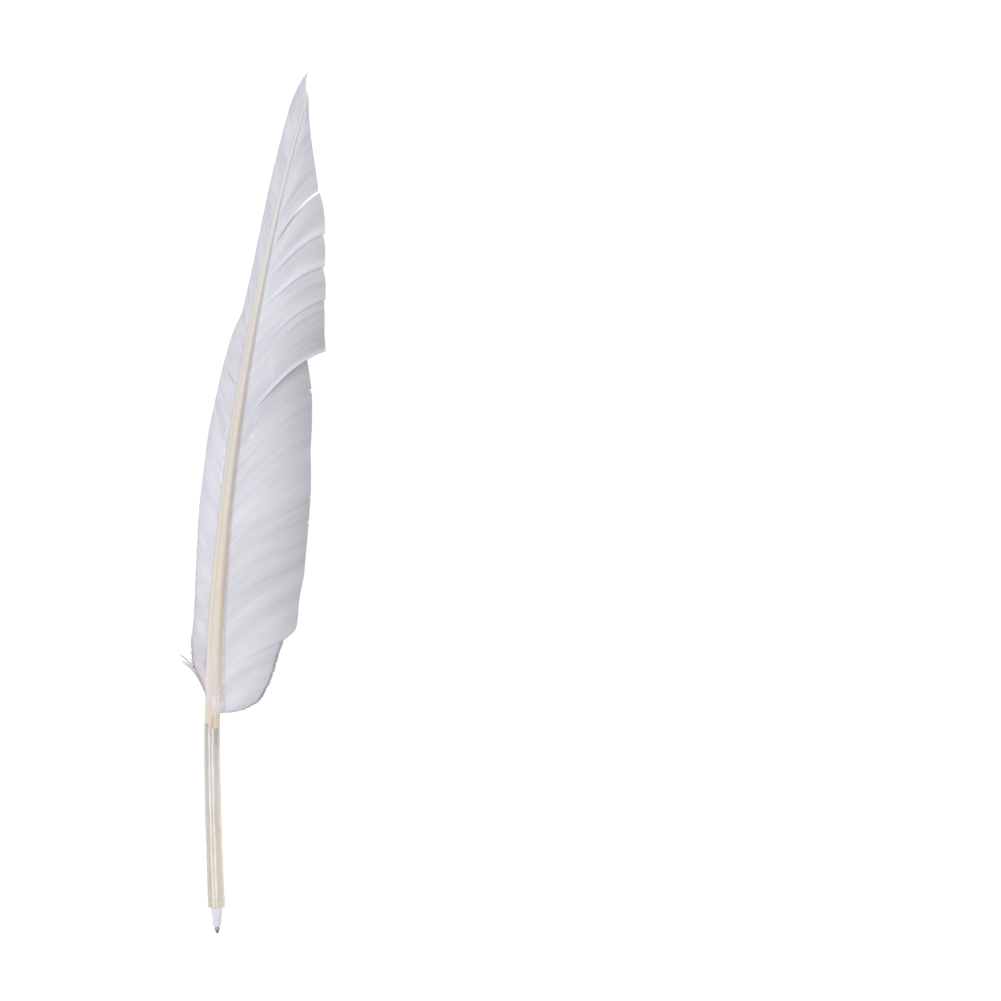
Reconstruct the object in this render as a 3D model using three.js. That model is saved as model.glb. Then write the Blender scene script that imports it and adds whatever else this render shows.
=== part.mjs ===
// Quill pen: a white flight feather whose cut quill holds a ballpoint refill.
// Millimetres. The pen lies on its back edge: +Y runs from the writing end to the feather's tip,
// +X towards the wide vane, +Z up. Stations are distances along Y from the quill's cut mouth.
import * as THREE from 'three';

const { lerp, smoothstep } = THREE.MathUtils;

// ---- Driving dimensions ----
const GAP = 0.3; // air between neighbouring pieces
const SIDES = 24; // facets round a turned piece

const SHAFT_END = 368; // where the rachis stops, short of the feather's tip
const BARREL_END = 82.1; // the hollow quill becomes pithy rachis here
const RACHIS_START = BARREL_END + 0.4;
const WALL = 0.5; // horn thickness
const CAVITY_END = 290; // the rachis is solid beyond this station
const PITH_CAP = [77.6, 81.6]; // dried pulp closing the hollow quill
const PITH_TIP = 0.3; // the pulp's width at its narrow end, as a share of the bore
const FULLNESS = 0.8; // exponent that squares off the rachis; 1 is an ellipse
const GROOVE = 0.09; // depth of the rachis groove, as a share of its width
const GROOVE_WIDTH = 0.2; // its half width, as a share of the rachis width
const GROOVE_FULL = 130; // the groove reaches its full depth at this station
const LIFT_START = 200; // the shaft leaves the desk here and curls up
const LIFT = 12; // rise of the shaft at its end

const SHEET = 0.6; // thickness of a vane
const EDGE_HEIGHT = 0.6; // middle of the vane's free edge above the desk
const ROOT_HEIGHT = 0.35; // height of the barb roots, as a share of the shaft's depth
const LOCK_RISE = 0.6; // each lock's lower edge stands this far over the lock before it
const ROW_STEP = 6; // spacing of the rows that shape a vane
const FULL_BEND_SPREAD = 0.5; // sine of the angle to the shaft at which a barb bends fully
const LATE_CURVE = [0.8, 3.2]; // curvature at the root, and its gain by the tip, of most barbs
const EARLY_CURVE = [4, -3.2]; // the same for the wide vane's lower barbs, which curve near the root
const CURVE_CHANGE = [150, 219]; // the wide vane goes from early to late curves between these stations
const FOOT = [92, 106]; // its barbs are nearly straight below the first, and bend fully above the second
const FOOT_BEND = 0.3; // bend of its lowest barbs, as a share of the others'

const NOSE_LENGTH = 9.1;
const NOSE_BASE_R = 2.79;
const NOSE_TIP_R = 1.81;
const NOSE_ROUND = 0.5;
const NOSE_BORE_R = 1.15;
const SPIGOT_R = 3.1;
const SPIGOT_LENGTH = 14;
const SPIGOT_CHAMFER = 0.4;
const POINT_R = 1.15; // the standard 2.3 mm metal point
const POINT_CYLINDER = 1.03;
const POINT_CONE = 1.57;
const STEM_R = 0.85;
const STEM_LENGTH = 5;
const BALL_R = 0.5;
const BALL_STANDS_PROUD = 0.3;
const SOCKET_R = 0.56;
const SOCKET_WALL = 0.01; // the socket is this thin at its lip
const LIP_GRIP = 0.015; // the lip is rolled in this far over the ball
const LIP_DEPTH = 0.12;
const INK_CHANNEL_R = 0.3;
const TUBE_R = 1.6;
const TUBE_BORE_R = 1.1;
const TUBE_START = 2;
const TUBE_END = 72;
const INK_R = 0.8;
const INK_END = 69;
const PLUG_DOME = 1.6;

// ---- Looks ----
const LOOKS = {
  vane: { color: '#dcdbe2', roughness: 0.85, metalness: 0 },
  down: { color: '#e6e5ea', roughness: 0.95, metalness: 0 },
  rachis: { color: '#e6ddd4', roughness: 0.45, metalness: 0 },
  horn: { color: '#d8cfc3', roughness: 0.3, metalness: 0 },
  pith: { color: '#efe9df', roughness: 0.95, metalness: 0 },
  nose: { color: '#e2e0ed', roughness: 0.4, metalness: 0 },
  tube: { color: '#e9e4dc', roughness: 0.35, metalness: 0 },
  ink: { color: '#1c2140', roughness: 0.3, metalness: 0 },
  metal: { color: '#b9b2a6', roughness: 0.2, metalness: 1 },
  ball: { color: '#d6d6da', roughness: 0.08, metalness: 1 },
};

// ---- Smooth values along a station ----

// A cubic that passes through every [station, value] pair.
function through(pairs) {
  const last = pairs.length - 1;
  const slopes = pairs.map((pair, i) => {
    const before = pairs[Math.max(i - 1, 0)];
    const after = pairs[Math.min(i + 1, last)];
    return (after[1] - before[1]) / (after[0] - before[0]);
  });
  return (station) => {
    let i = 0;
    while (i < last - 1 && station > pairs[i + 1][0]) i += 1;
    const span = pairs[i + 1][0] - pairs[i][0];
    const t = (station - pairs[i][0]) / span;
    const rest = 1 - t;
    const start = pairs[i][1] * (1 + 2 * t) * rest * rest + span * slopes[i] * t * rest * rest;
    const end = pairs[i + 1][1] * (3 - 2 * t) * t * t - span * slopes[i + 1] * rest * t * t;
    return start + end;
  };
}

const shaftX = through([[0, 0], [45, -1.55], [85, -1.95], [141, 0.3], [209, 7.3], [267, 17],
  [321, 28.6], [368, 41.2]]);
const shaftWidth = through([[0, 7.8], [22, 7.45], [45, 7.5], [86, 7.1], [118, 6.8], [160, 5.5],
  [215, 4.5], [275, 3.45], [300, 2.5], [321, 1.9], [368, 0.9]]);
const shaftDepth = through([[82, 7.1], [86, 7], [120, 6.2], [160, 5], [215, 3.9], [275, 2.9], [321, 1.8],
  [368, 0.9]]);

// Height of the shaft's underside above the desk.
function lift(station) {
  const past = Math.max(0, station - LIFT_START) / (SHAFT_END - LIFT_START);
  return LIFT * past * past;
}

// Unit vector across the shaft, towards the wide vane.
function across(station) {
  const slope = shaftX(station + 0.5) - shaftX(station - 0.5);
  return new THREE.Vector2(1, -slope).normalize();
}

// ---- Closed solids ----

// Turns the faces round when they point inwards.
function outward(geometry) {
  const p = geometry.attributes.position;
  const index = geometry.index.array;
  const [a, b, c] = [new THREE.Vector3(), new THREE.Vector3(), new THREE.Vector3()];
  let volume = 0;
  for (let i = 0; i < index.length; i += 3) {
    a.fromBufferAttribute(p, index[i]);
    b.fromBufferAttribute(p, index[i + 1]);
    c.fromBufferAttribute(p, index[i + 2]);
    volume += a.dot(b.cross(c));
  }
  if (volume < 0) {
    for (let i = 0; i < index.length; i += 3) {
      [index[i + 1], index[i + 2]] = [index[i + 2], index[i + 1]];
    }
  }
  return geometry;
}

// Faces that close a ring whose points i and n - 1 - i face each other.
function lid(first, count, flip) {
  const faces = [];
  for (let i = 0; i < count / 2 - 1; i += 1) {
    const quad = [first + i, first + i + 1, first + count - 2 - i, first + count - 1 - i];
    if (flip) quad.reverse();
    faces.push(quad[0], quad[1], quad[2], quad[0], quad[2], quad[3]);
  }
  return faces;
}

// A skin over a row of rings; its ends are closed with lids, or joined to each other.
function loft(rings, joined = false) {
  const count = rings[0].length;
  const faces = [];
  const spans = joined ? rings.length : rings.length - 1;
  for (let k = 0; k < spans; k += 1) {
    const low = k * count;
    const high = ((k + 1) % rings.length) * count;
    for (let i = 0; i < count; i += 1) {
      const j = (i + 1) % count;
      faces.push(low + i, low + j, high + j, low + i, high + j, high + i);
    }
  }
  if (!joined) {
    faces.push(...lid(0, count, true), ...lid((rings.length - 1) * count, count, false));
  }
  const geometry = new THREE.BufferGeometry().setFromPoints(rings.flat());
  geometry.setIndex(faces);
  return outward(geometry);
}

function piece(name, geometry, look) {
  geometry.computeVertexNormals();
  const mesh = new THREE.Mesh(geometry, new THREE.MeshStandardMaterial(LOOKS[look]));
  mesh.name = name;
  return mesh;
}

// A solid of revolution from [radius, station] pairs.
function turned(name, profile, look) {
  const points = profile.map(([radius, station]) => new THREE.Vector2(radius, station));
  return piece(name, outward(new THREE.LatheGeometry(points, SIDES)), look);
}

// [radius, station] pairs of a quarter circle from angle a to angle b, in quarter turns.
function corner(radius, station, size, a, b, steps = 4) {
  return Array.from({ length: steps + 1 }, (_, i) => {
    const angle = (Math.PI / 2) * (a + ((b - a) * i) / steps);
    return [radius + size * Math.cos(angle), station + size * Math.sin(angle)];
  });
}

function stations(from, to, count) {
  return Array.from({ length: count }, (_, i) => from + ((to - from) * i) / (count - 1));
}

// ---- The refill ----

// Front to back along its own axis, with station 0 at the quill's mouth.
function noseCone() {
  const round = corner(NOSE_TIP_R - NOSE_ROUND, NOSE_ROUND - NOSE_LENGTH, NOSE_ROUND, -1, 0);
  return turned('nose_cone', [
    [NOSE_BORE_R, -NOSE_LENGTH],
    ...round,
    [NOSE_BASE_R, 0],
    [SPIGOT_R, 0],
    [SPIGOT_R, SPIGOT_LENGTH - SPIGOT_CHAMFER],
    [SPIGOT_R - SPIGOT_CHAMFER, SPIGOT_LENGTH],
    [TUBE_R + GAP, SPIGOT_LENGTH],
    [TUBE_R + GAP, TUBE_START - GAP],
    [NOSE_BORE_R, TUBE_START - GAP],
    [NOSE_BORE_R, -NOSE_LENGTH],
  ], 'nose');
}

const COLLAR = -NOSE_LENGTH - GAP;
const LIP = COLLAR - POINT_CYLINDER - POINT_CONE;
const BALL_CENTRE = LIP + BALL_R - BALL_STANDS_PROUD;

function pointHousing() {
  return turned('point_housing', [
    [STEM_R, COLLAR + STEM_LENGTH],
    [STEM_R, COLLAR],
    [POINT_R, COLLAR],
    [POINT_R, COLLAR - POINT_CYLINDER],
    [SOCKET_R + SOCKET_WALL, LIP],
    [BALL_R - LIP_GRIP, LIP],
    [SOCKET_R, LIP + LIP_DEPTH],
    [SOCKET_R, BALL_CENTRE + GAP],
    [INK_CHANNEL_R, BALL_CENTRE + BALL_R],
    [INK_CHANNEL_R, COLLAR + STEM_LENGTH],
    [STEM_R, COLLAR + STEM_LENGTH],
  ], 'metal');
}

function writingBall() {
  const ball = piece('writing_ball', new THREE.SphereGeometry(BALL_R, 16, 10), 'ball');
  ball.position.y = BALL_CENTRE;
  return ball;
}

function inkTube() {
  return turned('ink_tube', [
    [TUBE_R, TUBE_START],
    [TUBE_R, TUBE_END],
    [TUBE_BORE_R, TUBE_END],
    [TUBE_BORE_R, TUBE_START],
    [TUBE_R, TUBE_START],
  ], 'tube');
}

function inkColumn() {
  const start = TUBE_START + GAP;
  return turned('ink_column', [[0, start], [INK_R, start], [INK_R, INK_END], [0, INK_END]], 'ink');
}

function tailPlug() {
  const seat = TUBE_END + GAP;
  const stem = INK_END + 2 * GAP;
  return turned('tail_plug', [
    [0, stem],
    [INK_R, stem],
    [INK_R, seat],
    ...corner(0, seat, PLUG_DOME, 0, 1, 5),
  ], 'tube');
}

function refill() {
  const group = new THREE.Group();
  group.add(noseCone(), pointHousing(), writingBall(), inkTube(), inkColumn(), tailPlug());
  group.position.z = mouthHeight;
  group.rotation.z = Math.atan2(across(0).y, across(0).x);
  return group;
}

// ---- The shaft ----

// Point of a ring round the shaft, at its centre plus (side, up).
function onShaft(station, side, up) {
  const normal = across(station);
  const x = shaftX(station) + normal.x * side;
  return new THREE.Vector3(x, station + normal.y * side, up);
}

// Round section of the hollow quill, lying on one of its flats; shrink is taken off its radius.
const flatToCentre = Math.cos(Math.PI / SIDES);
const mouthHeight = (shaftWidth(0) / 2) * flatToCentre;

function quillRing(station, shrink) {
  const outer = shaftWidth(station) / 2;
  return Array.from({ length: SIDES }, (_, i) => {
    const angle = ((i + 0.5) / SIDES) * 2 * Math.PI;
    const radius = outer - shrink;
    const up = outer * flatToCentre + radius * Math.sin(angle);
    return onShaft(station, radius * Math.cos(angle), up);
  });
}

// Squarish section of the rachis with its lengthwise groove on top; angle is in turns.
function rachisPoint(station, turn, shrink) {
  const width = shaftWidth(station) - 2 * shrink;
  const depth = shaftDepth(station) - 2 * shrink;
  const [c, s] = [Math.cos(turn * 2 * Math.PI), Math.sin(turn * 2 * Math.PI)];
  const side = (width / 2) * Math.sign(c) * Math.abs(c) ** FULLNESS;
  const rise = (depth / 2) * Math.sign(s) * Math.abs(s) ** FULLNESS;
  const ramp = smoothstep(station, RACHIS_START, GROOVE_FULL);
  const shape = Math.exp(-((side / (GROOVE_WIDTH * width)) ** 2));
  const dip = s > 0 ? GROOVE * ramp * width * shape : 0;
  return onShaft(station, side, lift(station) + shaftDepth(station) / 2 + rise - dip);
}

function rachisRing(station, shrink) {
  return stations(0, 1, 17).slice(0, 16).map((turn) => rachisPoint(station, turn, shrink));
}

function quillBarrel() {
  const along = stations(0, BARREL_END, 9);
  const outside = along.map((station) => quillRing(station, 0));
  const inside = along.map((station) => quillRing(station, WALL)).reverse();
  return piece('quill_barrel', loft([...outside, ...inside], true), 'horn');
}

// The pulp cap narrows to a cone towards the refill.
function pithPlug() {
  const [tip, base] = PITH_CAP;
  const bore = shaftWidth(base) / 2 - WALL - GAP;
  const rings = stations(tip, base, 5).map((station, i) => {
    const radius = bore * (PITH_TIP + (1 - PITH_TIP) * Math.sqrt(i / 4));
    return quillRing(station, shaftWidth(station) / 2 - radius);
  });
  return piece('pith_plug', loft(rings), 'pith');
}

function rachis() {
  const inside = stations(CAVITY_END, RACHIS_START, 18).map((y) => rachisRing(y, WALL));
  const outside = stations(RACHIS_START, SHAFT_END, 26).map((y) => rachisRing(y, 0));
  return piece('rachis', loft([...inside, ...outside]), 'rachis');
}

function rachisPith() {
  const along = stations(RACHIS_START + GAP, CAVITY_END - 3, 16);
  return piece('rachis_pith', loft(along.map((y) => rachisRing(y, WALL + GAP))), 'pith');
}

// ---- The vanes ----

// A vane is made of locks of zipped barbs. roots are the first and last stations on the shaft;
// tips are [x, station] of the free edge, evenly spaced from the first barb to the last.
const TRAILING = [
  { roots: [88.4, 90.1], tips: [[6.6, 88.8], [19, 93], [23.6, 100]] },
  { roots: [90.8, 102.6], tips: [[24.3, 101.7], [27.2, 110], [30.7, 120.7]] },
  { roots: [103.4, 133.3], tips: [[31.8, 122.5], [37.1, 132], [38.3, 145], [40.4, 156.7]] },
  { roots: [134.1, 176.1], tips: [[40.7, 158.1], [41.9, 173], [43, 190], [43, 206.6]] },
  { roots: [176.9, 218.6], tips: [[43, 208.2], [43.5, 228], [40.2, 245]] },
  { roots: [220, 249.4], tips: [[49.8, 253.1], [49.4, 266], [48.9, 276]] },
  { roots: [250.1, 271.2], tips: [[49.4, 277.4], [49.3, 285], [48.2, 291]] },
  { roots: [271.9, 283.8], tips: [[49.3, 292.4], [49.6, 300], [48, 306]] },
  { roots: [284.5, 297.5], tips: [[49.4, 307.4], [48.8, 315], [46.8, 323.9]] },
  { roots: [300, 321], tips: [[46.1, 326.4], [44.8, 336], [43.8, 343]] },
  { roots: [321.7, 345], tips: [[43.6, 344], [42.8, 352], [42.3, 360.3]] },
  { roots: [345.7, 366.5], tips: [[42.4, 361.3], [42.3, 366], [42.1, 369.5]] },
];
const LEADING = [
  { roots: [100.4, 109.8], tips: [[-7.5, 103.4], [-12, 112.2], [-12.1, 119]] },
  { roots: [110.5, 162], tips: [[-12, 120.2], [-9.7, 153], [-7.8, 182]] },
  { roots: [162.7, 235.2], tips: [[-7.8, 183.4], [-3.9, 215], [3.4, 247.6]] },
  { roots: [236, 257.3], tips: [[3.8, 250.4], [7.5, 260.8], [11.8, 270.6]] },
  { roots: [258, 298], tips: [[12.1, 272], [16.1, 289.8], [20.5, 310.6]] },
  { roots: [298.7, 344], tips: [[20.8, 312], [25.3, 332.4], [30.6, 353.6]] },
  { roots: [344.7, 367.5], tips: [[30.8, 355], [36.2, 371], [41.3, 379.5]] },
];
const WISPS = { roots: [94, 99.6], tips: [[-10, 97.5], [-14.5, 104.5], [-16.8, 113.6]] };

// One barb's middle line from the shaft (v = 0) to its free tip (v = 1).
// A barb that lies close along the shaft is straighter, so that it doesn't cross its neighbours.
// side.early is 1 for a vane whose lower barbs curve near their roots, and 0 for the other.
function barbPoint(side, root, tip, v, rise) {
  const normal = across(root);
  const start = onShaft(root, side.sign * (shaftWidth(root) / 2 + GAP), 0);
  const [dx, dy] = [tip[0] - start.x, tip[1] - start.y];
  const spread = Math.abs(dx * normal.x + dy * normal.y) / Math.hypot(dx, dy);
  const straight = side.early * (1 - FOOT_BEND) * (1 - smoothstep(root, ...FOOT));
  const bend = side.bend * Math.min(1, spread / FULL_BEND_SPREAD) * (1 - straight);
  const early = side.early * (1 - smoothstep(root, ...CURVE_CHANGE));
  const curve = [0, 1].map((i) => lerp(LATE_CURVE[i], EARLY_CURVE[i], early));
  const hump = v * (1 - v) * (curve[0] + curve[1] * v) * bend;
  const x = start.x + dx * v - dy * hump;
  const y = start.y + dy * v + dx * hump;
  const rootHeight = ROOT_HEIGHT * shaftDepth(Math.max(root, 86));
  const drop = rootHeight + (EDGE_HEIGHT - rootHeight) * v * v;
  return new THREE.Vector3(x, y, lift(y) + drop + side.arch * 4 * v * (1 - v) + rise * v);
}

function lock(name, side, { roots, tips }, look) {
  const rows = Math.max(3, Math.round((roots[1] - roots[0]) / ROW_STEP) + 1);
  const spaced = (axis) => through(tips.map((tip, i) => [i / (tips.length - 1), tip[axis]]));
  const [tipX, tipY] = [spaced(0), spaced(1)];
  const rings = stations(0, 1, rows).map((t) => {
    const root = lerp(roots[0], roots[1], t);
    const line = stations(0, 1, side.columns)
      .map((v) => barbPoint(side, root, [tipX(t), tipY(t)], v, LOCK_RISE * (1 - t)));
    const half = new THREE.Vector3(0, 0, SHEET / 2);
    const top = line.map((point) => point.clone().add(half));
    const bottom = line.map((point) => point.clone().sub(half)).reverse();
    return [...top, ...bottom];
  });
  return piece(name, loft(rings), look);
}

const WIDE = { sign: 1, bend: 0.1, early: 1, arch: 1.2, columns: 7 };
const NARROW = { sign: -1, bend: 0.07, early: 0, arch: 0.5, columns: 4 };

function vanes() {
  const wide = TRAILING.map((shape, i) => lock(`trailing_lock_${i + 1}`, WIDE, shape, 'vane'));
  const narrow = LEADING.map((shape, i) => lock(`leading_lock_${i + 1}`, NARROW, shape, 'vane'));
  return [...wide, ...narrow];
}

// Loose down that lies across the top of the shaft, above the quill.
const TUFT = { turns: [0.12, 0.38], stations: [91, 113], under: 0.45, over: 1 };

function downTuft() {
  const turns = stations(...TUFT.turns, 7);
  const rings = stations(...TUFT.stations, 6).map((station) => {
    const over = turns.map((turn) => rachisPoint(station, turn, -TUFT.over));
    const under = turns.map((turn) => rachisPoint(station, turn, -TUFT.under)).reverse();
    return [...over, ...under];
  });
  return piece('down_tuft', loft(rings), 'down');
}

// ---- Assembly ----

const pen = new THREE.Group();
pen.add(refill(), quillBarrel(), pithPlug(), rachis(), rachisPith());
pen.add(...vanes(), lock('down_wisps', NARROW, WISPS, 'down'), downTuft());

// The origin is the middle of the pen's box, at the desk.
pen.updateMatrixWorld(true);
const box = new THREE.Box3().setFromObject(pen, true);
const centre = box.getCenter(new THREE.Vector3());
pen.position.set(-centre.x, -centre.y, -box.min.z);

export default pen;
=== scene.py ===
# Quill pen: the looks. A goose flight feather, grooved face up, with a ballpoint refill in its quill.
# Shapes are worked out in millimetres in the quill's own coordinates: station (y) is the distance
# from the quill's cut mouth towards the feather's tip, x runs towards the wide vane, z is height.
import math

import bpy
import numpy as np
from mathutils import Matrix, Vector


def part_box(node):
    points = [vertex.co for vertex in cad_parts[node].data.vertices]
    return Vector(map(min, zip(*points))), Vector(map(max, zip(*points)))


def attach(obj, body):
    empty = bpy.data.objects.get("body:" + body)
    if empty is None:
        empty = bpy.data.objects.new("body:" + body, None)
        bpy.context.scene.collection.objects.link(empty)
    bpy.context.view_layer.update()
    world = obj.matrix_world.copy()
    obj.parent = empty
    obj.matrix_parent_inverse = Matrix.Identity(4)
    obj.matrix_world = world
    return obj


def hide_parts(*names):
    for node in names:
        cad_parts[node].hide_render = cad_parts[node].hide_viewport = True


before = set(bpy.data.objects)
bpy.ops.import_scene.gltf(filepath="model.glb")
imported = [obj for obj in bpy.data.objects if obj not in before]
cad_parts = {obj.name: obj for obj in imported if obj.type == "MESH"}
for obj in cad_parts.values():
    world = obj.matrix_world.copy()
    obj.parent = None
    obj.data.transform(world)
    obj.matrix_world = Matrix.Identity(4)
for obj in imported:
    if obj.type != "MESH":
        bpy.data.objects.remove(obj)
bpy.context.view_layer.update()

# ---------------- sizes (mm)
SHAFT_END = 368.0
SOLID_START = 86.0  # from here to the tip the shaft has a depth of its own
WALL = 0.5
LIFT_START = 200.0
LIFT = 12.0
GROOVE = 0.07
GROOVE_SIDE = -0.10  # the groove lies a little to the narrow vane's side, as a share of the width
ROOT_HEIGHT = 0.35
EDGE_HEIGHT = 0.7
SEAM = 82.1  # where the clear hollow quill turns into the solid, opaque shaft
FULL_BEND_SPREAD = 0.5
PIT_DEPTH = 0.7  # of the umbilicus

# the refill, along its own axis from the quill's mouth; negative is outside the quill
NOSE_LENGTH = 9.1
NOSE_BASE_R, NOSE_TIP_R = 2.79, 1.81
NOSE_ROUND = 0.5
NOSE_BULGE = 0.06
NOSE_BORE_R = 1.15
SPIGOT_LENGTH = 14.0
SPIGOT_R, SPIGOT_INNER_R = 3.18, 2.96  # at the mouth, and at its inner end, where the quill is narrower
TUBE_SOCKET_R = 1.9
COLLAR = -9.4
POINT_R = 1.15
POINT_BACK = -4.4
CONE_START = -10.5
LIP = -12.0
LIP_LENGTH = 0.12
SOCKET_R = 0.56
INK_WAY_R = 0.3
BALL_CENTRE = -11.8
BALL_R = 0.5
TUBE_START, TUBE_END = 2.0, 72.0
TUBE_R, TUBE_BORE_R = 1.6, 1.1
PLUG_R = 0.8
PLUG_START = 69.6


# ---------------- smooth values along a station
def through(pairs):
    """A cubic that passes through every (station, value) pair; it takes arrays."""
    s = np.array([p[0] for p in pairs], float)
    v = np.array([p[1] for p in pairs], float)
    slope = np.empty_like(v)
    slope[1:-1] = (v[2:] - v[:-2]) / (s[2:] - s[:-2])
    slope[0] = (v[1] - v[0]) / (s[1] - s[0])
    slope[-1] = (v[-1] - v[-2]) / (s[-1] - s[-2])

    def value(station):
        x = np.asarray(station, float)
        i = np.clip(np.searchsorted(s, x, side="right") - 1, 0, len(s) - 2)
        span = s[i + 1] - s[i]
        t = (x - s[i]) / span
        r = 1 - t
        start = v[i] * (1 + 2 * t) * r * r + span * slope[i] * t * r * r
        end = v[i + 1] * (3 - 2 * t) * t * t - span * slope[i + 1] * r * t * t
        return start + end

    return value


shaft_x = through([(0, 0), (45, -1.55), (85, -1.95), (141, 0.3), (209, 7.3), (267, 17), (321, 28.6),
                   (368, 41.2)])
shaft_width = through([(0, 7.8), (22, 7.45), (45, 7.5), (86, 7.1), (118, 6.8), (160, 5.5), (215, 4.5),
                       (275, 3.45), (300, 2.5), (321, 1.9), (368, 0.9)])
solid_depth = through([(SOLID_START, 7), (120, 6.2), (160, 5), (215, 3.9), (275, 2.9), (321, 1.8),
                       (368, 0.9)])


def shaft_depth(station):
    return solid_depth(np.maximum(station, SOLID_START))


def bell(x, middle, width):
    """1 at the middle, falling off smoothly over the width."""
    return np.exp(-((x - middle) / width) ** 2)


def smoothstep(low, high, x):
    t = np.clip((np.asarray(x, float) - low) / (high - low), 0, 1)
    return t * t * (3 - 2 * t)


def lift(station):
    past = np.maximum(0, np.asarray(station, float) - LIFT_START) / (SHAFT_END - LIFT_START)
    return LIFT * past * past


def across(station):
    """Unit vectors across the shaft, towards the wide vane."""
    station = np.asarray(station, float)
    slope = shaft_x(station + 0.5) - shaft_x(station - 0.5)
    size = np.sqrt(1 + slope * slope)
    return np.stack([1 / size, -slope / size], -1)


# ---------------- from the pen's coordinates to the frame
low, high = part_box("writing_ball")
ball = (np.array(low) + np.array(high)) / 2 * 1000
LEAN = float(across(0)[1] / across(0)[0])  # x gained per unit of y is -LEAN, at the mouth
AXIS = np.array([-LEAN, 1.0, 0.0]) / math.hypot(LEAN, 1)  # the refill's own axis, towards the feather
FLAT = math.cos(math.pi / 24)  # the quill lies on one of its flats
AXIS_HEIGHT = float(shaft_width(0)) / 2 * FLAT
OFFSET = ball - (AXIS * BALL_CENTRE + np.array([0, 0, AXIS_HEIGHT]))


def to_frame(points):
    return (np.asarray(points, float) + OFFSET) / 1000


# ---------------- mesh building
def grid_faces(rows, count, close_rows, close_ring=True):
    """Quads over a row of rings, each of count points."""
    k = np.arange(rows if close_rows else rows - 1)[:, None]
    i = np.arange(count if close_ring else count - 1)
    a = k * count + i
    b = k * count + (i + 1) % count
    up = ((k + 1) % rows) * count
    return np.stack([a, b, up + (i + 1) % count, up + i], -1).reshape(-1, 4)


def lid_faces(first, count, flip):
    """Quads that close a ring whose points i and count - 1 - i face each other."""
    i = np.arange(count // 2 - 1)
    quads = np.stack([first + i, first + i + 1, first + count - 2 - i, first + count - 1 - i], -1)
    return quads[:, ::-1] if flip else quads


def loft(rings, joined=False):
    """A closed skin over rings (rows, points, 3), with lids at both ends unless they are joined."""
    rings = np.asarray(rings, float)
    rows, count = rings.shape[:2]
    faces = [grid_faces(rows, count, joined)]
    if not joined:
        faces += [lid_faces(0, count, True), lid_faces((rows - 1) * count, count, False)]
    return rings.reshape(-1, 3), np.concatenate(faces)


def outward(verts, faces):
    """The faces, turned round if the solid they close is inside out."""
    a, b, c, d = (verts[faces[:, i]] for i in range(4))
    volume = np.einsum("ij,ij->", a, np.cross(b, c)) + np.einsum("ij,ij->", a, np.cross(c, d))
    return faces[:, ::-1] if volume < 0 else faces


def strands(lines, half_width, half_height, side, up):
    """Closed tapering strips along lines (n, k, 3), with a rhombic section of the half sizes (n, k)."""
    s = side * half_width[..., None]
    u = up * half_height[..., None]
    rings = np.stack([lines + s, lines + u, lines - s, lines - u], 2)
    n, k = rings.shape[:2]
    tube = grid_faces(k, 4, False)
    ends = np.concatenate([[[3, 2, 1, 0]], np.array([[0, 1, 2, 3]]) + 4 * (k - 1)])
    one = np.concatenate([tube, ends])
    faces = (np.arange(n)[:, None, None] * 4 * k + one[None]).reshape(-1, 4)
    return rings.reshape(-1, 3), faces


def join(parts):
    """One (verts, faces) from several."""
    verts, faces, start = [], [], 0
    for v, f in parts:
        verts.append(v)
        faces.append(f + start)
        start += len(v)
    return np.concatenate(verts), np.concatenate(faces)


def add(name, data):
    thing = bpy.data.objects.new(name, data)
    bpy.context.scene.collection.objects.link(thing)
    return thing


def piece(name, shape, material, body, replaced=(), sharp=40, values=None):
    """A mesh object from (verts in mm, faces), riding on a body."""
    verts, faces = shape
    faces = outward(verts, faces)
    mesh = bpy.data.meshes.new(name)
    mesh.from_pydata(to_frame(verts).tolist(), [], faces.tolist())
    for key, numbers in (values or {}).items():
        mesh.attributes.new(key, "FLOAT", "POINT").data.foreach_set("value", np.asarray(numbers, "f"))
    mesh.polygons.foreach_set("use_smooth", [True] * len(mesh.polygons))
    mesh.set_sharp_from_angle(angle=math.radians(sharp))
    mesh.materials.append(MATERIALS[material])
    mesh.update()
    thing = add(name, mesh)
    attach(thing, body)
    if replaced:
        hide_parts(*replaced)
    return thing


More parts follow.
